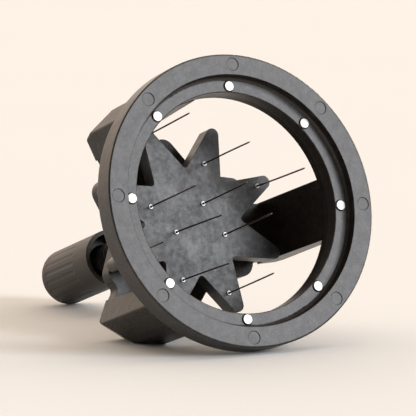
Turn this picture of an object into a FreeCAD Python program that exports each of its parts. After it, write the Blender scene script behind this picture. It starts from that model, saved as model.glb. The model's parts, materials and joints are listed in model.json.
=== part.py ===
"""Flower frog: a flanged ring with magnets, over a star-shaped plate of long pins, on a screw-adjusted foot.

Every piece is built on the ring's own axis, which is Z here: the ring's front face is z = 0 and the
foot is at negative z. lay_down() then sets the finished pieces on the ground as the frog rests on its
side, on the flange's rim, one leg and the sleeve. All sizes are in millimetres.
"""

import FreeCAD, Part
import math
import os

from FreeCAD import Vector

# Flange ring
FLANGE_R = 72.8
FLANGE_THICK = 12.5
FLANGE_EDGE_ROUND = 0.8
BORE_R = 55.0
BORE_EDGE_ROUND = 0.4
RECESS_R = 62.6
RECESS_DEPTH = 5.7
RECESS_CORNER = 2.2
WITNESS_D = 6.4
WITNESS_DEPTH = 0.35
WITNESS_PITCH_R = 67.8

# Magnets in the ledge inside the recess
MAGNET_COUNT = 8
MAGNET_PITCH_R = 58.0
MAGNET_D = 5.0
MAGNET_LONG = 3.0
MAGNET_PROUD = 0.9
MAGNET_GAP = 0.3
MAGNET_EDGE = 0.25

# Cage: collar, three legs and the three-armed end plate, in one moulding
COLLAR_R = 61.0
COLLAR_LONG = 4.9
LEG_COUNT = 3
CAGE_LONG = 66.0
LEG_FACE = 63.6
LEG_CREST = 68.2
LEG_CREST_HALF = 2.0
LEG_FACE_HALF = 13.7
LEG_BACK_HALF = 15.4
LEG_LEAN_IN = 2.8
LEG_END_FACE = 62.3
LEG_END_SLOPE_LONG = 16.0
LEG_EDGE_ROUND = 1.8
ARM_THICK = 7.6
ARM_END = 41.8
ARM_END_HALF = 24.8
ARM_ROOT_HALF = 30.5
ARM_TURN_DEG = 3.5
ARM_ROUND = 6.5
NECK_HALF = 14.6
NECK_ROUND = 3.5
ARM_VALLEY_ROUND = 4.0

# Star-shaped pin plate
STAR_POINTS = 8
STAR_FIRST_DEG = 27.0
STAR_FRONT = 51.6
STAR_THICK = 9.0
STAR_TIP_R = 59.4
STAR_VALLEY_R = 26.6
STAR_TIP_ROUND = 3.4
STAR_VALLEY_ROUND = 1.8
BOSS_R = 13.5

# Pins: distance from the axis, angle, then how far the tip leans across and its direction
PIN_D = 0.8
PIN_LONG = 47.8
PIN_POINT_LONG = 2.4
PIN_SEAT = 4.0
PIN_COLLAR_D = 2.5
PIN_COLLAR_HIGH = 0.7
PIN_COLLAR_WALL_GAP = 0.05
PINS = [
    (31.0, 74.0, 0.4, 60.0),
    (42.6, 27.0, 1.5, -60.0),
    (39.8, -65.0, 1.1, 115.0),
    (31.1, -106.0, 1.1, -50.0),
    (24.6, 164.0, 0.9, 45.0),
    (11.0, 57.0, 0.8, 130.0),
    (18.3, -20.0, 1.0, 55.0),
    (11.8, -151.0, 1.3, -65.0),
    (47.4, 206.5, 0.9, 175.0),
    (48.7, 118.6, 0.6, 130.0),
]

# Threaded stem, its washer and nut
STEM_R = 8.0
STEM_SEAT = 11.0
STEM_SEAT_GAP = 0.05
STEM_HOLE_GAP = 0.4
STEM_END_GAP = 0.6
STEM_TIP_CHAMFER = 1.2
WASHER_R = 14.5
WASHER_THICK = 2.0
NUT_ACROSS_FLATS = 24.0
NUT_THICK = 8.0
NUT_CHAMFER = 1.2

# Ribbed sleeve, its threaded insert and the swivelling foot pad
SLEEVE_R = 14.9
SLEEVE_START = 143.0
SLEEVE_LONG = 56.0
SLEEVE_WALL = 2.2
SLEEVE_MOUTH_ROUND = 0.5
SLEEVE_END_ROUND = 2.6
SLEEVE_FLOOR = 3.5
FLUTE_COUNT = 20
FLUTE_R = 5.5
FLUTE_DEPTH = 0.22
FLUTE_FROM_MOUTH = 18.0
FLUTE_LONG = 31.0
INSERT_SINK = 9.0
INSERT_LONG = 14.0
THREAD_CLEARANCE = 0.08
FOOT_TRAVEL = 24.0
PAD_R = 10.6
PAD_THICK = 2.6
PAD_PROUD = 0.8
PAD_GAP = 0.3
STUD_R = 3.0
STUD_CLEARANCE = 0.06
STUD_HEAD_R = 5.5
STUD_HEAD_THICK = 2.0
STUD_FLANGE_R = 5.0
STUD_FLANGE_THICK = 1.0

# Resting pose: the angle, round the ring's axis, of the side that lies lowest
REST_SIDE_DEG = -85.0

AXIS = Vector(0, 0, 1)


def polar(radius, degrees, z=0.0):
    """A point at this radius and angle round the ring's axis."""
    turn = math.radians(degrees)
    return Vector(radius * math.cos(turn), radius * math.sin(turn), z)


def turned(shape, degrees):
    """The shape turned round the ring's axis."""
    copy = shape.copy()
    copy.rotate(Vector(0, 0, 0), AXIS, degrees)
    return copy


def disc(radius, z_low, z_high, centre=None):
    """A solid cylinder along the axis direction between two heights."""
    base = Vector(0, 0, z_low) if centre is None else Vector(centre.x, centre.y, z_low)
    return Part.makeCylinder(radius, z_high - z_low, base, AXIS)


def outline(corners, z):
    """A closed wire through (x, y, corner radius) points, each corner rounded by a tangent arc."""
    places = [Vector(x, y, z) for x, y, _ in corners]
    ends = []
    for i, (_, _, radius) in enumerate(corners):
        here = places[i]
        to_last = (places[i - 1] - here).normalize()
        to_next = (places[(i + 1) % len(places)] - here).normalize()
        half = to_last.getAngle(to_next) / 2.0
        step = radius / math.tan(half)
        middle = (to_last + to_next).normalize() * (radius / math.sin(half) - radius)
        ends.append((here + to_last * step, here + middle, here + to_next * step, radius))
    edges = []
    for i, (start, middle, end, radius) in enumerate(ends):
        if radius > 0:
            edges.append(Part.Arc(start, middle, end).toShape())
        edges.append(Part.LineSegment(end, ends[(i + 1) % len(ends)][0]).toShape())
    return Part.Wire(Part.__sortEdges__(edges))


def revolved(profile):
    """A solid of revolution round the axis from (radius, z) points."""
    points = [Vector(r, 0, z) for r, z in profile]
    face = Part.Face(Part.makePolygon(points + points[:1]))
    return face.revolve(Vector(0, 0, 0), AXIS, 360)


def circle_edges(solid, radius, z):
    """The round edges of this radius at this height, centred on the axis."""
    found = []
    for edge in solid.Edges:
        curve = edge.Curve
        if not isinstance(curve, Part.Circle):
            continue
        if abs(curve.Radius - radius) < 1e-6 and abs(curve.Center.z - z) < 1e-6:
            found.append(edge)
    return found


def magnet_angles():
    """The magnets are evenly spaced, and so are the ejector-pin marks outside them."""
    return [360.0 / MAGNET_COUNT * k for k in range(MAGNET_COUNT)]


def flange_ring():
    """Flat ring with a recess round its bore, magnet pockets in the ledge and shallow moulding marks."""
    ring = revolved(
        [
            (BORE_R, -FLANGE_THICK),
            (FLANGE_R, -FLANGE_THICK),
            (FLANGE_R, 0),
            (RECESS_R, 0),
            (RECESS_R, -RECESS_DEPTH),
            (BORE_R, -RECESS_DEPTH),
        ]
    )
    rim = circle_edges(ring, FLANGE_R, 0) + circle_edges(ring, FLANGE_R, -FLANGE_THICK)
    ring = ring.makeFillet(FLANGE_EDGE_ROUND, rim)
    ring = ring.makeFillet(RECESS_CORNER, circle_edges(ring, RECESS_R, -RECESS_DEPTH))
    ring = ring.makeFillet(BORE_EDGE_ROUND, circle_edges(ring, BORE_R, -RECESS_DEPTH))
    cuts = []
    for angle in magnet_angles():
        cuts.append(magnet_pocket(angle))
        mark = polar(WITNESS_PITCH_R, angle)
        cuts.append(disc(WITNESS_D / 2, -WITNESS_DEPTH, 1.0, mark))
    return ring.cut(cuts)


def magnet_pocket(angle):
    """Round pocket in the ledge, less deep than the magnet is long."""
    floor = -RECESS_DEPTH + MAGNET_PROUD - MAGNET_LONG
    centre = polar(MAGNET_PITCH_R, angle)
    return disc(MAGNET_D / 2 + MAGNET_GAP, floor, -RECESS_DEPTH + RECESS_CORNER, centre)


def magnet(angle):
    """Plated disc magnet, standing on its pocket's floor."""
    top = -RECESS_DEPTH + MAGNET_PROUD
    body = disc(MAGNET_D / 2, top - MAGNET_LONG, top, polar(MAGNET_PITCH_R, angle))
    rims = [e for e in body.Edges if isinstance(e.Curve, Part.Circle)]
    return body.makeChamfer(MAGNET_EDGE, rims)


def leg_section(lean, z):
    """The leg's cross-section at one height: hollow like the bore inside, hipped outside."""
    chord = math.sqrt(BORE_R**2 - LEG_BACK_HALF**2) - lean
    half = [
        Vector(LEG_CREST, LEG_CREST_HALF, z),
        Vector(LEG_FACE, LEG_FACE_HALF, z),
        Vector(chord, LEG_BACK_HALF, z),
    ]
    mirrored = [Vector(p.x, -p.y, z) for p in reversed(half)]
    hollow = Part.Arc(half[-1], Vector(BORE_R - lean, 0, z), mirrored[0]).toShape()
    outside = mirrored + half
    sides = [Part.LineSegment(a, b).toShape() for a, b in zip(outside, outside[1:])]
    return Part.Wire(sides + [hollow])


def leg():
    """One leg: its inner face leans in from the bore's wall, its outer face slopes off at the end."""
    body = Part.makeLoft([leg_section(0, -FLANGE_THICK), leg_section(LEG_LEAN_IN, -cage_end())], True, True)
    tip = Vector(LEG_END_FACE, 0, -cage_end())
    crest = Vector(LEG_CREST, 0, -cage_end() + LEG_END_SLOPE_LONG)
    beyond = Vector(2 * LEG_FACE, 0, 0)
    waste = Part.Face(Part.makePolygon([tip, crest, crest + beyond, tip + beyond, tip]))
    waste.translate(Vector(0, -LEG_FACE, 0))
    body = body.cut(waste.extrude(Vector(0, 2 * LEG_FACE, 0)))
    return body.makeFillet(LEG_EDGE_ROUND, leg_outer_edges(body))


def leg_outer_edges(body):
    """The leg's edges outside the collar: down its hips and crest, and round its sloped end."""
    found = []
    for edge in body.Edges:
        at_collar = max(v.Point.z for v in edge.Vertexes) > -FLANGE_THICK - 0.01
        long_way = edge.BoundBox.ZLength > LEG_EDGE_ROUND
        if edge.CenterOfMass.x > COLLAR_R and (long_way or not at_collar):
            found.append(edge)
    return found


def arm():
    """One arm of the end plate: a broad rounded paddle, set round a little, necking into its leg."""
    turn = math.radians(ARM_TURN_DEG)
    paddle = []
    for along, across in ((0, -ARM_ROOT_HALF), (ARM_END, -ARM_END_HALF), (ARM_END, ARM_END_HALF)):
        paddle.append(Vector(along, across, 0))
    paddle.append(Vector(0, ARM_ROOT_HALF, 0))
    root_low, end_low, end_high, root_high = [turned(Part.Vertex(p), ARM_TURN_DEG).Point for p in paddle]
    neck = [(ARM_END - side * math.sin(turn)) / math.cos(turn) for side in (-NECK_HALF, NECK_HALF)]
    corners = [
        (root_low.x, root_low.y, 0),
        (end_low.x, end_low.y, ARM_ROUND),
        (neck[0], -NECK_HALF, NECK_ROUND),
        (BORE_R, -NECK_HALF, 0),
        (BORE_R, NECK_HALF, 0),
        (neck[1], NECK_HALF, NECK_ROUND),
        (end_high.x, end_high.y, ARM_ROUND),
        (root_high.x, root_high.y, 0),
    ]
    face = Part.Face(outline(corners, -cage_end()))
    return face.extrude(AXIS * ARM_THICK)


def cage_end():
    """How far the back of the end plate is from the ring's front face."""
    return FLANGE_THICK + CAGE_LONG


def valley_edges(plate):
    """The upright edges where two arms of the end plate meet."""
    valleys = [ARM_TURN_DEG + (k + 0.5) * 360.0 / LEG_COUNT for k in range(LEG_COUNT)]
    found = []
    for edge in plate.Edges:
        middle = edge.CenterOfMass
        round_axis = math.degrees(math.atan2(middle.y, middle.x))
        off = min(abs((round_axis - v + 180.0) % 360.0 - 180.0) for v in valleys)
        if off < 0.01 and edge.BoundBox.ZLength > ARM_THICK / 2:
            found.append(edge)
    return found


def cage():
    """Collar, legs and end plate, with the stem's hole through the middle."""
    turns = [360.0 / LEG_COUNT * k for k in range(LEG_COUNT)]
    plate = turned(arm(), turns[0]).fuse([turned(arm(), t) for t in turns[1:]]).removeSplitter()
    plate = plate.makeFillet(ARM_VALLEY_ROUND, valley_edges(plate))
    collar_low = -FLANGE_THICK - COLLAR_LONG
    collar = disc(COLLAR_R, collar_low, -FLANGE_THICK)
    body = collar.fuse([turned(leg(), t) for t in turns] + [plate])
    bore = disc(BORE_R, collar_low, -FLANGE_THICK)
    hole = disc(STEM_R + STEM_HOLE_GAP, -cage_end(), -cage_end() + ARM_THICK)
    return body.cut([bore, hole, below_ground()]).removeSplitter()


def star_plate():
    """Eight-pointed plate with a boss behind it that takes the stem, and a drilled seat for each pin."""
    step = 180.0 / STAR_POINTS
    corners = []
    for k in range(STAR_POINTS):
        tip = polar(STAR_TIP_R, STAR_FIRST_DEG + 2 * step * k)
        valley = polar(STAR_VALLEY_R, STAR_FIRST_DEG + 2 * step * k + step)
        corners.append((tip.x, tip.y, STAR_TIP_ROUND))
        corners.append((valley.x, valley.y, STAR_VALLEY_ROUND))
    face = Part.Face(outline(corners, -STAR_FRONT - STAR_THICK))
    plate = face.extrude(AXIS * STAR_THICK)
    boss = disc(BOSS_R, -cage_end() + ARM_THICK, -STAR_FRONT - STAR_THICK)
    seats = [pin_rod(p, PIN_D / 2, -PIN_SEAT, 1.0) for p in PINS]
    stem_seat = disc(STEM_R + STEM_SEAT_GAP, -cage_end() + ARM_THICK, stem_top())
    return plate.fuse(boss).cut(seats + [stem_seat])


def pin_line(pin):
    """Where a pin leaves the star plate, and the unit vector along it."""
    radius, angle, lean, towards = pin
    base = polar(radius, angle, -STAR_FRONT)
    tip = base + polar(lean, towards) + AXIS * PIN_LONG
    return base, (tip - base).normalize()


def pin_rod(pin, radius, start, end):
    """A round rod along a pin's own line, from start to end past the plate's face."""
    base, along = pin_line(pin)
    return Part.makeCylinder(radius, end - start, base + along * start, along)


def pin_needle(pin):
    """Straight steel pin, pressed into the plate, with a ground point."""
    base, along = pin_line(pin)
    shank = pin_rod(pin, PIN_D / 2, -PIN_SEAT, PIN_LONG - PIN_POINT_LONG)
    start = base + along * (PIN_LONG - PIN_POINT_LONG)
    point = Part.makeCone(PIN_D / 2, PIN_D / 12, PIN_POINT_LONG, start, along)
    return shank.fuse(point).removeSplitter()


def pin_collar(pin):
    """Small plated eyelet round the pin, standing on the plate's face."""
    base, along = pin_line(pin)
    body = disc(PIN_COLLAR_D / 2, -STAR_FRONT, -STAR_FRONT + PIN_COLLAR_HIGH, base)
    tops = [e for e in body.Edges if isinstance(e.Curve, Part.Circle) and e.Curve.Center.z > -STAR_FRONT]
    body = body.makeChamfer(PIN_COLLAR_HIGH / 3, tops)
    return body.cut(pin_rod(pin, PIN_D / 2 + PIN_COLLAR_WALL_GAP, -PIN_COLLAR_D, PIN_COLLAR_D))


def stem_top():
    """Height of the stem's upper end, inside the star plate's boss."""
    return -cage_end() + ARM_THICK + STEM_SEAT


def stem_end():
    """Height of the stem's lower end, which the stud's head just clears when the foot is wound right in."""
    return stud_head_top() + FOOT_TRAVEL + STEM_END_GAP


def threaded_stem():
    """Stem from the star plate's boss, through the end plate and the insert, into the sleeve."""
    low = stem_end()
    body = disc(STEM_R, low, stem_top())
    return body.makeChamfer(STEM_TIP_CHAMFER, circle_edges(body, STEM_R, low))


def lock_washer():
    """Plain washer between the end plate and the nut."""
    top = -cage_end()
    bore = disc(STEM_R + THREAD_CLEARANCE, top - WASHER_THICK, top)
    return disc(WASHER_R, top - WASHER_THICK, top).cut(bore)


def lock_nut():
    """Hexagon nut that clamps the end plate to the star plate's boss."""
    top = -cage_end() - WASHER_THICK
    corner = NUT_ACROSS_FLATS / math.sqrt(3)
    points = [polar(corner, 60.0 * k, top - NUT_THICK) for k in range(6)]
    prism = Part.Face(Part.makePolygon(points + points[:1])).extrude(AXIS * NUT_THICK)
    flat = NUT_ACROSS_FLATS / 2
    slope = NUT_CHAMFER / 2
    turning = revolved(
        [
            (0, top - NUT_THICK),
            (flat, top - NUT_THICK),
            (corner, top - NUT_THICK + slope),
            (corner, top - slope),
            (flat, top),
            (0, top),
        ]
    )
    bore = disc(STEM_R + THREAD_CLEARANCE, top - NUT_THICK, top)
    return prism.common(turning).cut(bore)


def sleeve_end():
    """How far the sleeve's closed end is from the ring's front face."""
    return SLEEVE_START + SLEEVE_LONG


def pad_seat():
    """Depth of the counterbore in the sleeve's end that the foot pad sits in."""
    return PAD_THICK - PAD_PROUD + PAD_GAP


def stud_head_top():
    """Height of the top of the swivel stud's head, inside the sleeve."""
    return -sleeve_end() + pad_seat() + SLEEVE_FLOOR + PAD_GAP + STUD_HEAD_THICK


def grip_sleeve():
    """Hand-turned sleeve: open at the stem, closed at the foot, with shallow flutes along its far half."""
    mouth, end = -SLEEVE_START, -sleeve_end()
    body = disc(SLEEVE_R, end, mouth)
    body = body.makeFillet(SLEEVE_END_ROUND, circle_edges(body, SLEEVE_R, end))
    body = body.makeFillet(SLEEVE_MOUTH_ROUND, circle_edges(body, SLEEVE_R, mouth))
    flutes = []
    for k in range(FLUTE_COUNT):
        centre = polar(SLEEVE_R + FLUTE_R - FLUTE_DEPTH, 360.0 / FLUTE_COUNT * k)
        start = mouth - FLUTE_FROM_MOUTH
        groove = disc(FLUTE_R, start - FLUTE_LONG, start, centre)
        ends = [Part.makeSphere(FLUTE_R, Vector(centre.x, centre.y, z)) for z in (start - FLUTE_LONG, start)]
        flutes += [groove] + ends
    inside = disc(SLEEVE_R - SLEEVE_WALL, end + pad_seat() + SLEEVE_FLOOR, mouth)
    seat = disc(PAD_R + PAD_GAP, end, end + pad_seat())
    swivel = disc(STUD_R + STUD_CLEARANCE, end, end + pad_seat() + SLEEVE_FLOOR)
    return body.cut(flutes + [inside, seat, swivel])


def threaded_insert():
    """Blackened steel nut pressed into the sleeve, a little way in from its mouth."""
    top = -SLEEVE_START - INSERT_SINK
    bore = disc(STEM_R + THREAD_CLEARANCE, top - INSERT_LONG, top)
    return disc(SLEEVE_R - SLEEVE_WALL, top - INSERT_LONG, top).cut(bore)


def foot_pad():
    """Rubber disc that stays still while the sleeve turns on it."""
    low = -sleeve_end() - PAD_PROUD
    pad = disc(PAD_R, low, low + PAD_THICK)
    pad = pad.makeFillet(PAD_PROUD / 2, circle_edges(pad, PAD_R, low))
    head = disc(STUD_FLANGE_R, low + PAD_THICK - STUD_FLANGE_THICK, low + PAD_THICK)
    return pad.cut(head)


def swivel_stud():
    """Steel stud moulded into the pad, its head inside the sleeve, that the sleeve turns on."""
    pad_top = -sleeve_end() - PAD_PROUD + PAD_THICK
    head_top = stud_head_top()
    flange = disc(STUD_FLANGE_R, pad_top - STUD_FLANGE_THICK, pad_top)
    shank = disc(STUD_R, pad_top, head_top - STUD_HEAD_THICK)
    head = disc(STUD_HEAD_R, head_top - STUD_HEAD_THICK, head_top)
    return flange.fuse([shank, head]).removeSplitter()


def rest_tilt():
    """Tilt of the axis, in radians, when flange and sleeve touch the ground: a common tangent of rims."""
    across = (FLANGE_R - FLANGE_EDGE_ROUND) - (SLEEVE_R - SLEEVE_END_ROUND)
    along = (sleeve_end() - SLEEVE_END_ROUND) - (FLANGE_THICK - FLANGE_EDGE_ROUND)
    lean = (FLANGE_EDGE_ROUND - SLEEVE_END_ROUND) / math.hypot(across, along)
    return math.atan2(across, along) + math.asin(lean)


def ground():
    """The direction straight down, in the ring's own axes, and how far the ground is along it."""
    tilt = rest_tilt()
    down = polar(math.cos(tilt), REST_SIDE_DEG, -math.sin(tilt))
    rim_centre = polar(FLANGE_R - FLANGE_EDGE_ROUND, REST_SIDE_DEG, FLANGE_EDGE_ROUND - FLANGE_THICK)
    return down, down.dot(rim_centre) + FLANGE_EDGE_ROUND


def below_ground():
    """A block under the ground, which trims the corner of the leg that the frog lies on."""
    down, reach = ground()
    side = 4 * FLANGE_R
    block = Part.makeBox(side, side, side, Vector(-side / 2, -side / 2, 0))
    block.Placement = FreeCAD.Placement(down * reach, FreeCAD.Rotation(AXIS, down))
    return block


def resting_matrix():
    """Turns the ring's axes into the laid-down ones: ring towards +X and up, +Z up."""
    tilt = rest_tilt()
    side = math.radians(REST_SIDE_DEG)
    fore = Vector(math.cos(tilt), 0, math.sin(tilt))
    low = Vector(math.sin(tilt), 0, -math.cos(tilt))
    across = Vector(0, 1, 0)
    x = low * math.cos(side) - across * math.sin(side)
    y = low * math.sin(side) + across * math.cos(side)
    return FreeCAD.Matrix(x.x, y.x, fore.x, 0, x.y, y.y, fore.y, 0, x.z, y.z, fore.z, 0, 0, 0, 0, 1)


def lay_down(parts):
    """Lays every piece on the ground, with the origin under the middle of the whole frog's box."""
    laid = {name: shape.transformShape(resting_matrix(), True) for name, shape in parts.items()}
    box = Part.makeCompound(list(laid.values())).optimalBoundingBox(False, False)
    _, reach = ground()
    shift = Vector(-(box.XMin + box.XMax) / 2, -(box.YMin + box.YMax) / 2, reach)
    for shape in laid.values():
        shape.translate(shift)
    print("origin is at", shift, "tilt", math.degrees(rest_tilt()), "box", box)
    return laid


def all_parts():
    """Every piece by name, on the ring's own axes."""
    parts = {
        "flange_ring": flange_ring(),
        "leg_cage": cage(),
        "star_plate": star_plate(),
        "threaded_stem": threaded_stem(),
        "lock_washer": lock_washer(),
        "lock_nut": lock_nut(),
        "grip_sleeve": grip_sleeve(),
        "threaded_insert": threaded_insert(),
        "foot_pad": foot_pad(),
        "swivel_stud": swivel_stud(),
    }
    for k, angle in enumerate(magnet_angles(), start=1):
        parts[f"magnet_{k}"] = magnet(angle)
    for k, pin in enumerate(PINS, start=1):
        parts[f"pin_{k}"] = pin_needle(pin)
        parts[f"pin_collar_{k}"] = pin_collar(pin)
    return parts


os.makedirs("parts", exist_ok=True)
for name, shape in lay_down(all_parts()).items():
    shape.exportStep(f"parts/{name}.step")
    print(name, "volume", round(shape.Volume, 1), "solids", len(shape.Solids), "valid", shape.isValid())
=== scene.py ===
import json
import math
import random

import bmesh
import bpy
from mathutils import Matrix, Quaternion, Vector


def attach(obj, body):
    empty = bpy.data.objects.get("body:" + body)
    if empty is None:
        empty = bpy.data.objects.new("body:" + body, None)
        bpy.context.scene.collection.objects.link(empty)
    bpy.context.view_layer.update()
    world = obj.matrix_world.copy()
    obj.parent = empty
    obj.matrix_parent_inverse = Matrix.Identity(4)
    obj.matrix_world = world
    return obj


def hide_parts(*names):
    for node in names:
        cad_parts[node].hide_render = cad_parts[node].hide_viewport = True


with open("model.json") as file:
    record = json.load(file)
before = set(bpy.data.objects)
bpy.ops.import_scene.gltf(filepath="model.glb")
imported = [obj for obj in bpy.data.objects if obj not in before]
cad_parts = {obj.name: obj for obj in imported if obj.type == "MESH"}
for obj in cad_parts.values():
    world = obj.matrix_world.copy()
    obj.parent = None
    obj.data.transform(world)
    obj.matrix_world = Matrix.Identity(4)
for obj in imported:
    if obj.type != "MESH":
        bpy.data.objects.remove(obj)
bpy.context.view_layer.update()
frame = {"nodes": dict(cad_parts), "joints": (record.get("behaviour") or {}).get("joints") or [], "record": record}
nodes = frame["nodes"]

# ---------------------------------------------------------------------------------------------------
# How the frog lies. It is one long turned assembly, so every piece is made about the ring's own axis:
# along it, 0 is the ring's front face and the foot is negative; across it, 0 degrees is the first magnet.
# The laid-down place of that axis comes from the foot's slide and from the ring itself.
SAME_HEIGHT = 0.00002

joints = {joint["name"]: joint for joint in frame["joints"]}
AXIS = Vector(joints["foot_travel"]["axis"]).normalized()
on_axis = Vector(joints["sleeve_turn"]["pos_m"])


def along_axis(node):
    """A CAD node's corners, each with its height along the ring's axis."""
    return [((v.co - on_axis).dot(AXIS), v.co) for v in nodes[node].data.vertices]


def middle(points):
    """The middle of the box round some points."""
    sides = list(zip(*points))
    return Vector([(min(side) + max(side)) / 2 for side in sides])


def end_of(node, which):
    """The middle of a CAD node's far (max) or near (min) end along the ring's axis."""
    heights = along_axis(node)
    reach = which(height for height, _ in heights)
    return middle([place for height, place in heights if abs(height - reach) < SAME_HEIGHT])


RING_CENTRE = on_axis + AXIS * max(height for height, _ in along_axis("flange_ring"))
first_magnet = end_of("magnet_1", max) - RING_CENTRE
FIRST = (first_magnet - AXIS * first_magnet.dot(AXIS)).normalized()
SECOND = AXIS.cross(FIRST)
LAID = Matrix.Translation(RING_CENTRE) @ Matrix((FIRST, SECOND, AXIS)).transposed().to_4x4()

# ---------------------------------------------------------------------------------------------------
# The table it lies on: a wide matt board in warm off-white, with a fine tooth to its surface.
# It runs far past the frog on every side, so that it is also the ground behind it.
FLOOR_REACH = 9.0
FLOOR_SQUARES = 24
FLOOR_CREAM = (0.925, 0.945, 0.945, 1)
FLOOR_CREAM_WORN = (0.91, 0.93, 0.925, 1)
FLOOR_IOR = 1.36
FLOOR_WORN_PATCH = 0.4
FLOOR_TOOTH = 0.0012
FLOOR_TOOTH_DEPTH = 0.00002


class Strand:
    """A socket among a finish's nodes; sums written with it become Math nodes."""

    def __init__(self, finish, socket):
        self.finish = finish
        self.socket = socket

    def sum(self, operation, *values):
        return self.finish.node("ShaderNodeMath", dict(enumerate(values)), operation=operation)

    def __add__(self, other):
        return self.sum("ADD", self, other)

    def __radd__(self, other):
        return self.sum("ADD", other, self)

    def __sub__(self, other):
        return self.sum("SUBTRACT", self, other)

    def __rsub__(self, other):
        return self.sum("SUBTRACT", other, self)

    def __mul__(self, other):
        return self.sum("MULTIPLY", self, other)

    def __rmul__(self, other):
        return self.sum("MULTIPLY", other, self)


class Finish:
    """One material: its nodes, from plain calls, and the shader that they feed."""

    def __init__(self, name, **constants):
        self.material = bpy.data.materials.new(name)
        self.material.use_nodes = True
        self.nodes = self.material.node_tree.nodes
        self.links = self.material.node_tree.links
        self.surface = self.nodes["Principled BSDF"]
        self.place = self.node("ShaderNodeTexCoord", output="Object")
        for socket, value in constants.items():
            self.surface.inputs[socket.replace("_", " ")].default_value = value

    def node(self, kind, sockets=(), output=0, **settings):
        made = self.nodes.new(kind)
        for setting, value in settings.items():
            setattr(made, setting, value)
        for key, value in dict(sockets).items():
            self.feed(made.inputs[key], value)
        return Strand(self, made.outputs[output])

    def feed(self, socket, value):
        if isinstance(value, Strand):
            self.links.new(value.socket, socket)
        else:
            socket.default_value = value

    def set(self, sockets):
        for key, value in sockets.items():
            self.feed(self.surface.inputs[key], value)

    def noise(self, patch, detail=3.0, roughness=0.5, vector=None):
        """Cloudy noise whose patches are about this many metres across."""
        where = vector or self.place
        sockets = {"Vector": where, "Scale": 1 / patch, "Detail": detail, "Roughness": roughness}
        return self.node("ShaderNodeTexNoise", sockets)

    def ramp(self, value, start, end):
        """0 where the value is under start, 1 where it is over end, and even in between."""
        made = self.node("ShaderNodeValToRGB", {"Fac": value})
        black, white = made.socket.node.color_ramp.elements
        black.position, white.position = start, end
        return made

    def blend(self, factor, first, second):
        """Two colours mixed: the second one where factor is 1."""
        colours = {0: factor, 6: first, 7: second}
        return self.node("ShaderNodeMix", colours, output=2, data_type="RGBA")

    def stretched(self, along, across=1.0):
        """Places in the ring's own axes, with lengths along its axis and round it scaled."""
        back = LAID.inverted()
        moved = {"Vector": self.place, "Location": back.translation, "Rotation": back.to_euler()}
        own = self.node("ShaderNodeMapping", moved)
        return self.node("ShaderNodeVectorMath", {0: own, 1: (across, across, along)}, operation="MULTIPLY")

    def off_axis(self):
        """Distance from the ring's axis, in metres."""
        flat = self.stretched(along=0.0)
        return self.node("ShaderNodeVectorMath", {0: flat}, output="Value", operation="LENGTH")

    def turned(self, pitch):
        """A wave that rises and falls once in each pitch away from the ring's axis, as a lathe leaves."""
        return (self.off_axis() * (math.tau / pitch)).sum("SINE")

    def relief(self, height, depth, edge_round=0.0):
        """Feeds a bump of this depth in metres to the shader, over softened edges if asked."""
        sockets = {"Height": height, "Distance": depth, "Strength": 1.0}
        if edge_round:
            sockets["Normal"] = self.node("ShaderNodeBevel", {"Radius": edge_round}, samples=6)
        self.set({"Normal": self.node("ShaderNodeBump", sockets)})


board = bmesh.new()
bmesh.ops.create_grid(board, x_segments=FLOOR_SQUARES, y_segments=FLOOR_SQUARES, size=FLOOR_REACH)
floor_mesh = bpy.data.meshes.new("floor")
board.to_mesh(floor_mesh)
board.free()
floor = bpy.data.objects.new("floor", floor_mesh)
bpy.context.scene.collection.objects.link(floor)
card = Finish("floor_card", Roughness=0.9, IOR=FLOOR_IOR)
worn = card.noise(FLOOR_WORN_PATCH, detail=2.0)
card.set({"Base Color": card.blend(worn, FLOOR_CREAM, FLOOR_CREAM_WORN)})
card.relief(card.noise(FLOOR_TOOTH), FLOOR_TOOTH_DEPTH)
floor_mesh.materials.append(card.material)

# ---------------------------------------------------------------------------------------------------
# The eye: a long lens, low and a little to the left of the ring's face, turned by a hair.
# It looks at a place just behind the ring, so that the whole frog is in view.
VIEW_ROUND = math.radians(-29.729)
VIEW_UP = math.radians(6.2)
VIEW_ROLL = math.radians(-0.239)
VIEW_FAR = 1.5238
VIEW_LENS = 272.15
VIEW_SENSOR = 36.0
VIEW_CLIP = 50.0
VIEW_AIM = RING_CENTRE + Vector((-0.00815, -0.01515, -0.00398))

level, up = math.cos(VIEW_UP), math.sin(VIEW_UP)
to_eye = Vector((level * math.cos(VIEW_ROUND), level * math.sin(VIEW_ROUND), up))
lens = bpy.data.cameras.new("eye")
lens.lens = VIEW_LENS
lens.sensor_width = VIEW_SENSOR
lens.clip_end = VIEW_CLIP
eye = bpy.data.objects.new("eye", lens)
bpy.context.scene.collection.objects.link(eye)
turn = (-to_eye).to_track_quat("-Z", "Y") @ Quaternion((0, 0, 1), VIEW_ROLL)
eye.matrix_world = Matrix.Translation(VIEW_AIM + to_eye * VIEW_FAR) @ turn.to_matrix().to_4x4()
bpy.context.scene.camera = eye

# ---------------------------------------------------------------------------------------------------
# The room: a warm pale backdrop that fades, round to the side of the eye, into a dim room behind it.
# Its light is what the frog's dark sides and the plated discs throw back.
BACKDROP = (1.50, 1.24, 1.03, 1)
DIM_ROOM = (0.21, 0.195, 0.18, 1)
FADE_FROM = -0.45
FADE_TO = 0.55

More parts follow.
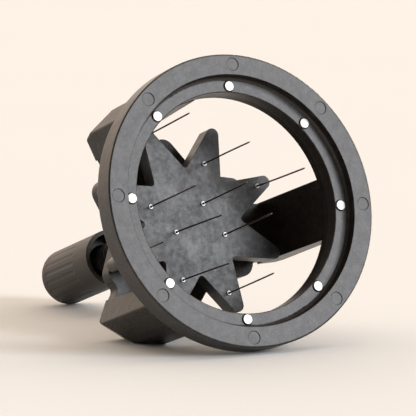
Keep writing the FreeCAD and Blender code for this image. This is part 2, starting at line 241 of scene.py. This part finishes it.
room = bpy.data.worlds.new("room")
room.use_nodes = True
air, joins = room.node_tree.nodes, room.node_tree.links
behind = air.new("ShaderNodeVectorMath")
behind.operation = "DOT_PRODUCT"
joins.new(air.new("ShaderNodeTexCoord").outputs["Generated"], behind.inputs[0])
behind.inputs[1].default_value = (-math.cos(VIEW_ROUND), -math.sin(VIEW_ROUND), 0)
fade = air.new("ShaderNodeMapRange")
fade.interpolation_type = "SMOOTHSTEP"
fade.inputs["From Min"].default_value = FADE_FROM
fade.inputs["From Max"].default_value = FADE_TO
joins.new(behind.outputs["Value"], fade.inputs["Value"])
wall = air.new("ShaderNodeMix")
wall.data_type = "RGBA"
wall.inputs[6].default_value = DIM_ROOM
wall.inputs[7].default_value = BACKDROP
joins.new(fade.outputs["Result"], wall.inputs[0])
joins.new(wall.outputs[2], air["Background"].inputs["Color"])
bpy.context.scene.world = room
bpy.context.scene.view_settings.view_transform = "Standard"

# ---------------------------------------------------------------------------------------------------
# The lamp: one broad cool soft light in front and to the right. It stands where the ring's face and
# the star plate throw it back towards the eye, so that both of them have a grey sheen.
SOFT_LIGHT = 2.05
SOFT_LIGHT_BREADTH = math.radians(30)
SOFT_LIGHT_TONE = (0.94, 0.96, 1.0)

thrown_back = 2 * to_eye.dot(AXIS) * AXIS - to_eye
soft = bpy.data.lights.new("soft_light", "SUN")
soft.energy = SOFT_LIGHT
soft.angle = SOFT_LIGHT_BREADTH
soft.color = SOFT_LIGHT_TONE
lamp = bpy.data.objects.new("soft_light", soft)
bpy.context.scene.collection.objects.link(lamp)
lamp.location = RING_CENTRE + thrown_back
lamp.rotation_euler = (-thrown_back).to_track_quat("-Z", "Y").to_euler()

# ---------------------------------------------------------------------------------------------------
# Flange ring: an injection moulding in black filled nylon, stood off its tool by round ejector pins.
# Its face has the cloudy flow of the filler, and its ledge the fine turned lines of the tool's core.
SHELL_BLACK = (0.0045, 0.0036, 0.0032, 1)
SHELL_GREY = (0.020, 0.0155, 0.0135, 1)
SHELL_DUST = (0.075, 0.068, 0.064, 1)
SHELL_FLOW_PATCH = 0.0045
SHELL_DUST_PATCH = 0.0011
SHELL_DUST_SHARE = 0.5
SHELL_GRAIN_PATCH = 0.0008
SHELL_SWELL_PATCH = 0.005
SHELL_RELIEF = 0.00006
SHELL_EDGE_ROUND = 0.0004
RING_IOR = 1.48
LEDGE_LINE_PITCH = 0.0009


def moulded_black(name, ior, turned_lines):
    """Satin black plastic with a cloudy flow pattern, fine grain and a little dust."""
    black = Finish(name, IOR=ior)
    cloud = black.ramp(black.noise(SHELL_FLOW_PATCH, detail=8.0, roughness=0.76), 0.38, 0.64)
    dust = black.ramp(black.noise(SHELL_DUST_PATCH, detail=2.0), 0.56, 0.72)
    tone = black.blend(cloud, SHELL_BLACK, SHELL_GREY)
    grain = black.noise(SHELL_GRAIN_PATCH, detail=2.0)
    black.set(
        {
            "Base Color": black.blend(dust * SHELL_DUST_SHARE, tone, SHELL_DUST),
            "Roughness": 0.40 - 0.045 * cloud - 0.05 * grain,
        }
    )
    height = 0.5 * grain + black.noise(SHELL_SWELL_PATCH, detail=1.0)
    if turned_lines:
        rings = black.node("ShaderNodeCombineXYZ", {"X": black.off_axis()})
        height = height + 0.30 * black.noise(LEDGE_LINE_PITCH, detail=1.0, vector=rings)
    black.relief(height, SHELL_RELIEF, SHELL_EDGE_ROUND)
    return black.material


def dress(node, material):
    """Gives a carried-over CAD node its finish."""
    slots = nodes[node].material_slots
    if not slots:
        nodes[node].data.materials.append(material)
    for slot in slots:
        slot.material = material


dress("flange_ring", moulded_black("shell_ring", RING_IOR, turned_lines=True))

# ---------------------------------------------------------------------------------------------------
# Leg cage: collar, three hipped legs and the three-armed end plate, one moulding in the same nylon.
# It is welded to the back of the ring by its collar, and shows the matt skin of a spark-eroded tool.
CAGE_IOR = 1.34

dress("leg_cage", moulded_black("shell_cage", CAGE_IOR, turned_lines=False))

# ---------------------------------------------------------------------------------------------------
# Magnets: eight nickel-plated discs, glued in round pockets in the ledge so that each stands proud.
# The plating rounds their rims, and handling leaves them faintly clouded.
MAGNET_COUNT = 8
MAGNET_STEPS = 40
MAGNET_RIM_ROUND = 0.00028
NICKEL = (0.62, 0.60, 0.58, 1)
NICKEL_CLOUDED = (0.40, 0.39, 0.39, 1)
NICKEL_CLOUD_PATCH = 0.0011
NICKEL_GRAIN_PATCH = 0.0003
NICKEL_GRAIN_DEPTH = 0.000004
SMOOTH_BELOW = math.radians(38)


def height_of(node, which):
    """Where a CAD node ends along the ring's axis, from the ring's front face."""
    return which((place - RING_CENTRE).dot(AXIS) for _, place in along_axis(node))


def reach_of(node, which=max, centre=RING_CENTRE):
    """A CAD node's largest or least distance from the line along the ring's axis through a place."""
    return which((place - centre).cross(AXIS).length for _, place in along_axis(node))


def rounded(corners, radii, steps=5):
    """(radius, height) corners with some of them rounded, as the points of a turned outline."""
    points = []
    for k, corner in enumerate(corners):
        size = radii.get(k)
        if not size:
            points.append(corner)
            continue
        here = Vector(corner)
        before = (Vector(corners[k - 1]) - here).normalized() * size
        after = (Vector(corners[(k + 1) % len(corners)]) - here).normalized() * size
        for step in range(steps + 1):
            t = step / steps
            bend = (1 - t) ** 2 * (here + before) + 2 * t * (1 - t) * here + t**2 * (here + after)
            points.append(tuple(bend))
    return points


def finished(name, shape, smooth_below=SMOOTH_BELOW):
    """A bmesh made into an object, its faces outwards, smooth except at hard edges."""
    bmesh.ops.recalc_face_normals(shape, faces=shape.faces)
    mesh = bpy.data.meshes.new(name)
    shape.to_mesh(mesh)
    shape.free()
    made = bpy.data.objects.new(name, mesh)
    bpy.context.scene.collection.objects.link(made)
    for polygon in mesh.polygons:
        polygon.use_smooth = True
    mesh.set_sharp_from_angle(angle=smooth_below)
    return made


def lathe(name, outline, steps, closed=False):
    """A turned piece about the ring's axis from (radius, height) points; points on the axis close it."""
    turning = bmesh.new()
    angles = [math.tau * k / steps for k in range(steps)]
    rings = []
    for radius, height in outline:
        if radius == 0:
            rings.append([turning.verts.new((0, 0, height))] * steps)
            continue
        round_axis = [(radius * math.cos(angle), radius * math.sin(angle), height) for angle in angles]
        rings.append([turning.verts.new(place) for place in round_axis])
    pairs = list(zip(rings, rings[1:]))
    if closed:
        pairs.append((rings[-1], rings[0]))
    for low, high in pairs:
        for k in range(steps):
            corners = [low[k], low[(k + 1) % steps], high[(k + 1) % steps], high[k]]
            turning.faces.new(list(dict.fromkeys(corners)))
    return finished(name, turning)


def fit(piece, place, body, stands_for):
    """Lays a piece down at its place, lets it ride and hides the CAD node that it stands for."""
    piece.data.transform(place)
    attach(piece, body)
    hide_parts(stands_for)


nickel = Finish("nickel_plate", Metallic=1.0)
clouding = nickel.noise(NICKEL_CLOUD_PATCH, detail=3.0)
nickel.set(
    {
        "Base Color": nickel.blend(clouding, NICKEL, NICKEL_CLOUDED),
        "Roughness": 0.38 + 0.2 * clouding,
    }
)
nickel.relief(nickel.noise(NICKEL_GRAIN_PATCH), NICKEL_GRAIN_DEPTH)

magnet_high = height_of("magnet_1", max) - height_of("magnet_1", min)
for k in range(1, MAGNET_COUNT + 1):
    node = f"magnet_{k}"
    top = end_of(node, max)
    radius = reach_of(node, centre=top)
    corners = [(0, -magnet_high), (radius, -magnet_high), (radius, 0), (0, 0)]
    outline = rounded(corners, {1: MAGNET_RIM_ROUND, 2: MAGNET_RIM_ROUND})
    disc = lathe(f"disc_magnet_{k}", outline, MAGNET_STEPS)
    disc.data.materials.append(nickel.material)
    place = LAID.copy()
    place.translation = top
    fit(disc, place, "frame", node)

# ---------------------------------------------------------------------------------------------------
# Star plate: eight blunt points cut from thick black sheet, with a boss behind that takes the stem.
# Its face is clouded and scuffed where it was lapped flat and where stems have been pushed on.
PLATE_BLACK = (0.0025, 0.0026, 0.0030, 1)
PLATE_CLOUD = (0.048, 0.049, 0.052, 1)
PLATE_SCUFF = (0.11, 0.11, 0.11, 1)
PLATE_DRIFT_PATCH = 0.017
PLATE_MOTTLE_PATCH = 0.0030
PLATE_SCUFF_PATCH = 0.0016
PLATE_SCUFF_SHARE = 0.4
PLATE_SWELL_PATCH = 0.006
PLATE_GRAIN_PATCH = 0.0009
PLATE_RELIEF = 0.00008
PLATE_EDGE_ROUND = 0.0004

plate = Finish("pin_plate_black", IOR=1.5)
drift = plate.ramp(plate.noise(PLATE_DRIFT_PATCH, detail=6.0, roughness=0.66), 0.38, 0.66)
mottle = plate.ramp(plate.noise(PLATE_MOTTLE_PATCH, detail=6.0, roughness=0.72), 0.38, 0.66)
rubbed_in = plate.stretched(along=1.0, across=0.6)
scuffs = plate.ramp(plate.noise(PLATE_SCUFF_PATCH, vector=rubbed_in), 0.60, 0.75)
clouded = 0.5 * drift + 0.5 * mottle
tone = plate.blend(clouded, PLATE_BLACK, PLATE_CLOUD)
plate.set(
    {
        "Base Color": plate.blend(scuffs * PLATE_SCUFF_SHARE, tone, PLATE_SCUFF),
        "Roughness": 0.50 - 0.22 * clouded,
    }
)
swell = plate.noise(PLATE_SWELL_PATCH, detail=1.0)
plate.relief(swell + 0.4 * plate.noise(PLATE_GRAIN_PATCH), PLATE_RELIEF, PLATE_EDGE_ROUND)
dress("star_plate", plate.material)

# ---------------------------------------------------------------------------------------------------
# Pins: ten lengths of drawn steel wire with a brown oxide skin, ground to bright points.
# Each is pressed into its drilled seat, and none is quite straight.
PIN_COUNT = 10
PIN_STEPS = 14
PIN_SPANS = 5
PIN_HEEL = 0.0004
PIN_BOW = 0.00016
PIN_POINT = 0.0024
PIN_SHOULDER_SHARE = 0.62
PIN_SHOULDER_AT = 0.36
PIN_BRIGHT_FROM = 0.55
PIN_TIP_SHARE = 0.16
PIN_TIP_ROUND = 0.00006
OXIDE_BROWN = (0.076, 0.048, 0.035, 1)
OXIDE_DARK = (0.030, 0.020, 0.016, 1)
OXIDE_PATCH = 0.0016
DRAWN_GRAIN = 0.0004
DRAWN_GRAIN_DEPTH = 0.000006
GROUND_STEEL = (0.78, 0.74, 0.70, 1)
GROUND_PATCH = 0.0004
GROUND_GRAIN = 0.0002

wire = Finish("oxide_wire", Metallic=0.85)
skin = wire.noise(OXIDE_PATCH, detail=4.0)
wire.set({"Base Color": wire.blend(skin, OXIDE_DARK, OXIDE_BROWN), "Roughness": 0.30 + 0.15 * skin})
wire.relief(wire.noise(DRAWN_GRAIN), DRAWN_GRAIN_DEPTH)
bright = Finish("ground_point", Metallic=1.0)
bright.set(
    {
        "Base Color": bright.blend(bright.noise(GROUND_PATCH), GROUND_STEEL, OXIDE_BROWN),
        "Roughness": 0.22 + 0.1 * bright.noise(GROUND_GRAIN),
    }
)

bows = random.Random(41)
for k in range(1, PIN_COUNT + 1):
    node = f"pin_{k}"
    heel, tip = end_of(node, min), end_of(node, max)
    long = (tip - heel).length
    heights = along_axis(node)
    low = min(height for height, _ in heights)
    around_heel = [place for height, place in heights if height < low + PIN_HEEL]
    thick = max((place - heel).cross(AXIS).length for place in around_heel)
    shank = [(thick, long * span / PIN_SPANS) for span in range(PIN_SPANS)]
    point = [
        (thick, long - PIN_POINT),
        (thick * PIN_SHOULDER_SHARE, long - PIN_POINT * PIN_SHOULDER_AT),
        (thick * PIN_TIP_SHARE, long - PIN_TIP_ROUND),
    ]
    pin = lathe(f"steel_pin_{k}", [(0, 0)] + shank + point + [(0, long)], PIN_STEPS)
    sideways = Vector((math.cos(bows.uniform(0, 6.28)), math.sin(bows.uniform(0, 6.28)), 0))
    for vertex in pin.data.vertices:
        t = vertex.co.z / long
        vertex.co += sideways * PIN_BOW * 4 * t * (1 - t)
    pin.data.materials.append(wire.material)
    pin.data.materials.append(bright.material)
    for face in pin.data.polygons:
        face.material_index = int(face.center.z > long - PIN_POINT * PIN_BRIGHT_FROM)
    upright = (tip - heel).to_track_quat("Z", "Y").to_matrix().to_4x4()
    fit(pin, Matrix.Translation(heel) @ upright, "frame", node)

# ---------------------------------------------------------------------------------------------------
# Eyelets: small turned rings, bright plated, that stand on the plate where each pin goes in.
# Each has a rolled rim and a countersunk mouth, so that its middle is dark round the pin.
EYELET_STEPS = 32
EYELET_MOUTH = 0.00062
EYELET_MOUTH_FLOOR = 0.25
EYELET_RIM_ROUND = 0.00024
EYELET_MOUTH_ROUND = 0.6 * EYELET_RIM_ROUND
EYELET_PLAY = 0.00004

for k in range(1, PIN_COUNT + 1):
    node = f"pin_collar_{k}"
    high = (end_of(node, max) - end_of(node, min)).dot(AXIS)
    centre = middle([place for _, place in along_axis(node)])
    radius = reach_of(node, max, centre)
    bore = reach_of(node, min, centre) + EYELET_PLAY
    mouth_floor = (bore, high * EYELET_MOUTH_FLOOR)
    corners = [(bore, 0), (radius, 0), (radius, high), (EYELET_MOUTH, high), mouth_floor]
    outline = rounded(corners, {2: EYELET_RIM_ROUND, 3: EYELET_MOUTH_ROUND})
    eyelet = lathe(f"pin_eyelet_{k}", outline, EYELET_STEPS, closed=True)
    eyelet.data.materials.append(nickel.material)
    place = LAID.copy()
    place.translation = centre - AXIS * high / 2
    fit(eyelet, place, "frame", node)

# ---------------------------------------------------------------------------------------------------
# Stem: black-finished steel rod, rolled with a two-start thread whose lead is the foot's travel for
# one turn of the sleeve. It is bonded into the star plate's boss and clamped at the end plate.
THREAD_STARTS = 2
THREAD_ROWS = 8
THREAD_COLUMNS = 72
THREAD_DEPTH = 0.0011
THREAD_FLANK = 4.0
THREAD_ROOT = 1.6
STEM_CHAMFER = 0.0012
STEM_WELD = 0.000002
STEM_SMOOTH_BELOW = math.radians(30)
STEM_BLACK = (0.012, 0.012, 0.013, 1)
STEM_RUBBED = (0.10, 0.095, 0.09, 1)
STEM_RUBBED_PATCH = 0.003
STEM_RUBBED_SHARE = 0.5
STEM_GRAIN_PATCH = 0.0006
STEM_GRAIN_DEPTH = 0.00001

lead = math.tau / frame["record"]["behaviour"]["couplings"][0]["ratio"]


def thread_cut(phase):
    """How deep the rolled thread is, 0 at its crest and 1 at its root, over one pitch."""
    return min(1.0, max(0.0, THREAD_ROOT - THREAD_FLANK * abs(phase % 1.0 - 0.5)))


def threaded_rod(radius, low, high):
    """A rod with a helical thread rolled into it: the rows of its mesh climb with the thread."""
    pitch = lead / THREAD_STARTS
    rod = bmesh.new()
    rows = int((high - low) / pitch * THREAD_ROWS) + THREAD_ROWS * THREAD_STARTS + 2
    columns = []
    for column in range(THREAD_COLUMNS):
        share = column / THREAD_COLUMNS
        angle = math.tau * share
        verts = []
        for row in range(rows):
            height = low + (row / THREAD_ROWS) * pitch + lead * (share - 1)
            height = min(high, max(low, height))
            phase = (height - low) / pitch - share * THREAD_STARTS
            room = radius - max(0.0, STEM_CHAMFER - (height - low), STEM_CHAMFER - (high - height))
            out = min(room, radius - THREAD_DEPTH * thread_cut(phase))
            verts.append(rod.verts.new((out * math.cos(angle), out * math.sin(angle), height)))
        columns.append(verts)
    for column in range(THREAD_COLUMNS):
        wraps = column == THREAD_COLUMNS - 1
        step = THREAD_ROWS * THREAD_STARTS if wraps else 0
        here, beside = columns[column], columns[(column + 1) % THREAD_COLUMNS]
        for row in range(rows - 1 - step):
            rod.faces.new((here[row], beside[row + step], beside[row + 1 + step], here[row + 1]))
    bmesh.ops.remove_doubles(rod, verts=rod.verts, dist=STEM_WELD)
    bmesh.ops.holes_fill(rod, edges=[edge for edge in rod.edges if edge.is_boundary], sides=0)
    return rod


black_steel = Finish("stem_black_steel", Metallic=0.85)
rubbed = black_steel.ramp(black_steel.noise(STEM_RUBBED_PATCH, detail=4.0), 0.5, 0.75)
black_steel.set(
    {
        "Base Color": black_steel.blend(rubbed * STEM_RUBBED_SHARE, STEM_BLACK, STEM_RUBBED),
        "Roughness": 0.36 + 0.12 * rubbed,
    }
)
black_steel.relief(black_steel.noise(STEM_GRAIN_PATCH), STEM_GRAIN_DEPTH)

stem_low, stem_high = height_of("threaded_stem", min), height_of("threaded_stem", max)
rod = threaded_rod(reach_of("threaded_stem"), stem_low, stem_high)
stem = finished("threaded_rod", rod, STEM_SMOOTH_BELOW)
stem.data.materials.append(black_steel.material)
fit(stem, LAID, "frame", "threaded_stem")

# ---------------------------------------------------------------------------------------------------
# Washer and nut: plain pressed washer and a chamfered hexagon nut in blackened steel.
# They clamp the cage's end plate against the star plate's boss.
NUT_BLACK = (0.022, 0.021, 0.020, 1)
NUT_WORN = (0.22, 0.20, 0.18, 1)
NUT_WORN_PATCH = 0.004
NUT_WORN_SHARE = 0.5
NUT_TURNED_PITCH = 0.0006
NUT_GRAIN_PATCH = 0.0008
NUT_RELIEF = 0.00002
NUT_EDGE_ROUND = 0.0003

blackened = Finish("blackened_steel", Metallic=0.9)
wear = blackened.ramp(blackened.noise(NUT_WORN_PATCH, detail=5.0), 0.52, 0.75)
blackened.set(
    {
        "Base Color": blackened.blend(wear * NUT_WORN_SHARE, NUT_BLACK, NUT_WORN),
        "Roughness": 0.32 + 0.16 * wear,
    }
)
marks = 0.5 * blackened.noise(NUT_GRAIN_PATCH) + 0.2 * blackened.turned(NUT_TURNED_PITCH)
blackened.relief(marks, NUT_RELIEF, NUT_EDGE_ROUND)
for node in ("lock_washer", "lock_nut"):
    dress(node, blackened.material)

# ---------------------------------------------------------------------------------------------------
# Grip sleeve: moulded in softer brown-black plastic, with finger flutes along its far half.
# It screws along the stem on a pressed-in nut, and its skin is drawn in fine lines along its length.
SLEEVE_BROWN = (0.006, 0.0046, 0.0039, 1)
SLEEVE_PALE = (0.034, 0.0265, 0.0225, 1)
SLEEVE_STREAK_PATCH = 0.0026
SLEEVE_STREAK_STRETCH = 0.06
SLEEVE_CLOUD_PATCH = 0.013
SLEEVE_GRAIN_PATCH = 0.0008
SLEEVE_RELIEF = 0.00004
SLEEVE_EDGE_ROUND = 0.0003

sleeve = Finish("sleeve_brown_black", IOR=1.46)
drawn = sleeve.stretched(along=SLEEVE_STREAK_STRETCH)
streak_noise = sleeve.noise(SLEEVE_STREAK_PATCH, detail=5.0, roughness=0.65, vector=drawn)
streaks = sleeve.ramp(streak_noise, 0.38, 0.64)
pale = 0.55 * streaks + 0.35 * sleeve.noise(SLEEVE_CLOUD_PATCH, detail=4.0)
sleeve.set(
    {
        "Base Color": sleeve.blend(pale, SLEEVE_BROWN, SLEEVE_PALE),
        "Roughness": 0.40 + 0.10 * streaks,
    }
)
sleeve.relief(0.5 * streaks + 0.5 * sleeve.noise(SLEEVE_GRAIN_PATCH), SLEEVE_RELIEF, SLEEVE_EDGE_ROUND)
dress("grip_sleeve", sleeve.material)

# ---------------------------------------------------------------------------------------------------
# Threaded insert: a blackened steel nut, diamond-knurled outside to key in the sleeve's bore.
# It is tapped inside, its ends are chamfered, and only its top shows, down inside the sleeve's mouth.
KNURLS = 48
KNURL_STEPS = 4
KNURL_DEPTH = 0.00025
KNURL_PITCH = 0.0016
INSERT_CHAMFER = 0.0006
INSERT_BLACK = (0.010, 0.010, 0.010, 1)
INSERT_RUBBED = (0.05, 0.045, 0.04, 1)
INSERT_RUBBED_PATCH = 0.002
INSERT_TURNED_PITCH = 0.0009
INSERT_TURNED_DEPTH = 0.00001
SAME_PLACE = 0.00001

tapped = Finish("insert_black_oxide", Metallic=0.8)
rub = tapped.noise(INSERT_RUBBED_PATCH, detail=4.0)
tapped.set({"Base Color": tapped.blend(rub, INSERT_BLACK, INSERT_RUBBED), "Roughness": 0.40 + 0.15 * rub})
tapped.relief(tapped.turned(INSERT_TURNED_PITCH), INSERT_TURNED_DEPTH)

insert_low, insert_high = height_of("threaded_insert", min), height_of("threaded_insert", max)
insert_out, insert_in = reach_of("threaded_insert"), reach_of("threaded_insert", min)
knurl_low, knurl_high = insert_low + INSERT_CHAMFER, insert_high - INSERT_CHAMFER
rows = int((insert_high - insert_low) / KNURL_PITCH) * KNURL_STEPS
outline = [(insert_in, knurl_low), (insert_in + INSERT_CHAMFER, insert_low)]
outline += [(insert_out - INSERT_CHAMFER, insert_low)]
outline += [(insert_out, knurl_low + (knurl_high - knurl_low) * row / rows) for row in range(rows + 1)]
outline += [(insert_out - INSERT_CHAMFER, insert_high)]
outline += [(insert_in + INSERT_CHAMFER, insert_high), (insert_in, knurl_high)]
insert = lathe("knurled_insert", outline, KNURLS * KNURL_STEPS, closed=True)
for vertex in insert.data.vertices:
    radius = math.hypot(vertex.co.x, vertex.co.y)
    if radius > insert_out - SAME_PLACE:
        ridges_round = math.atan2(vertex.co.y, vertex.co.x) / math.tau * KNURLS
        climb = vertex.co.z / KNURL_PITCH / 2
        leaning_left = abs(math.sin(math.pi * (ridges_round + climb)))
        leaning_right = abs(math.sin(math.pi * (ridges_round - climb)))
        shrink = 1 - KNURL_DEPTH * (1 - leaning_left * leaning_right) / radius
        vertex.co.x *= shrink
        vertex.co.y *= shrink
insert.data.materials.append(tapped.material)
fit(insert, LAID, "sleeve", "threaded_insert")

# ---------------------------------------------------------------------------------------------------
# Foot pad: a moulded rubber disc with three grip ribs, that stays still while the sleeve is turned.
# It is moulded round the flange of the swivel stud, whose shank comes out of its back.
PAD_STEPS = 72
PAD_RIBS = 3
PAD_RIB_DEEP = 0.00045
PAD_FIRST_RIB = 0.22
PAD_RIB_PITCH = 0.25
PAD_RIB_WIDE = 0.11
PAD_RIB_SLOPE = 0.25
PAD_EDGE_RIB = 0.90
PAD_EDGE_RIB_TOP = 0.93
PAD_RIM_ROUND = 0.0004
PAD_BACK_ROUND = 0.5 * PAD_RIM_ROUND
RUBBER = (0.016, 0.016, 0.017, 1)
RUBBER_CHALKY = (0.055, 0.053, 0.05, 1)
RUBBER_CHALK_PATCH = 0.005
RUBBER_CHALK_SHARE = 0.6
RUBBER_GRAIN_PATCH = 0.0007
RUBBER_GRAIN_DEPTH = 0.00006

rubber = Finish("foot_rubber", IOR=1.5)
chalk = rubber.ramp(rubber.noise(RUBBER_CHALK_PATCH, detail=5.0), 0.4, 0.75)
rubber.set(
    {
        "Base Color": rubber.blend(chalk * RUBBER_CHALK_SHARE, RUBBER, RUBBER_CHALKY),
        "Roughness": 0.66 + 0.16 * chalk,
    }
)
rubber.relief(rubber.noise(RUBBER_GRAIN_PATCH), RUBBER_GRAIN_DEPTH)

pad_low, pad_high = height_of("foot_pad", min), height_of("foot_pad", max)
pad_out = reach_of("foot_pad")
stud_low, stud_high = height_of("swivel_stud", min), height_of("swivel_stud", max)
stud_corners = [place - RING_CENTRE for _, place in along_axis("swivel_stud")]
stud_profile = [(corner.dot(AXIS), corner.cross(AXIS).length) for corner in stud_corners]
flange_out = max(out for height, out in stud_profile if abs(height - stud_low) < SAME_PLACE)

groove = pad_low + PAD_RIB_DEEP
outline = [(0, groove)]
for rib in range(PAD_RIBS):
    inner = pad_out * (PAD_FIRST_RIB + PAD_RIB_PITCH * rib)
    wide = pad_out * PAD_RIB_WIDE
    outline += [(inner, groove), (inner + wide * PAD_RIB_SLOPE, pad_low)]
    outline += [(inner + wide, pad_low), (inner + wide * (1 + PAD_RIB_SLOPE), groove)]
rim = [(pad_out * PAD_EDGE_RIB, groove), (pad_out * PAD_EDGE_RIB_TOP, pad_low), (pad_out, pad_low)]
rim += [(pad_out, pad_high), (flange_out, pad_high)]
outline += rounded(rim, {2: PAD_RIM_ROUND, 3: PAD_BACK_ROUND})
outline += [(flange_out, stud_low), (0, stud_low)]
pad = lathe("rubber_foot", outline, PAD_STEPS)
pad.data.materials.append(rubber.material)
fit(pad, LAID, "foot", "foot_pad")

# ---------------------------------------------------------------------------------------------------
# Swivel stud: a bright steel pin turned with a flange at one end and a head at the other.
# The rubber holds it by its flange, and the sleeve turns on its shank and is kept on by its head.
STUD_STEPS = 48
STUD_CHAMFER = 0.0003
STUD_STEEL = (0.55, 0.54, 0.53, 1)
STUD_HAZE_PATCH = 0.002
STUD_HAZE_SHARE = 0.5
STUD_TURNED_PITCH = 0.0003
STUD_TURNED_DEPTH = 0.000004

turned_steel = Finish("stud_turned_steel", Metallic=1.0)
haze = turned_steel.noise(STUD_HAZE_PATCH)
turned_steel.set(
    {
        "Base Color": turned_steel.blend(haze * STUD_HAZE_SHARE, STUD_STEEL, OXIDE_BROWN),
        "Roughness": 0.24 + 0.12 * haze,
    }
)
turned_steel.relief(turned_steel.turned(STUD_TURNED_PITCH), STUD_TURNED_DEPTH)

head_out = max(out for height, out in stud_profile if abs(height - stud_high) < SAME_PLACE)
head_low = min(height for height, out in stud_profile if out > head_out - SAME_PLACE and height > pad_high)
shank_out = min(out for height, out in stud_profile if abs(height - pad_high) < SAME_PLACE)
corners = [(0, stud_low), (flange_out, stud_low), (flange_out, pad_high), (shank_out, pad_high)]
corners += [(shank_out, head_low), (head_out, head_low), (head_out, stud_high), (0, stud_high)]
chamfers = {4: STUD_CHAMFER, 5: STUD_CHAMFER, 6: STUD_CHAMFER}
stud = lathe("foot_stud", rounded(corners, chamfers, steps=3), STUD_STEPS)
stud.data.materials.append(turned_steel.material)
fit(stud, LAID, "foot", "swivel_stud")

# ---------------------------------------------------------------------------------------------------
# The scene's placements brought up to date.
bpy.context.view_layer.update()
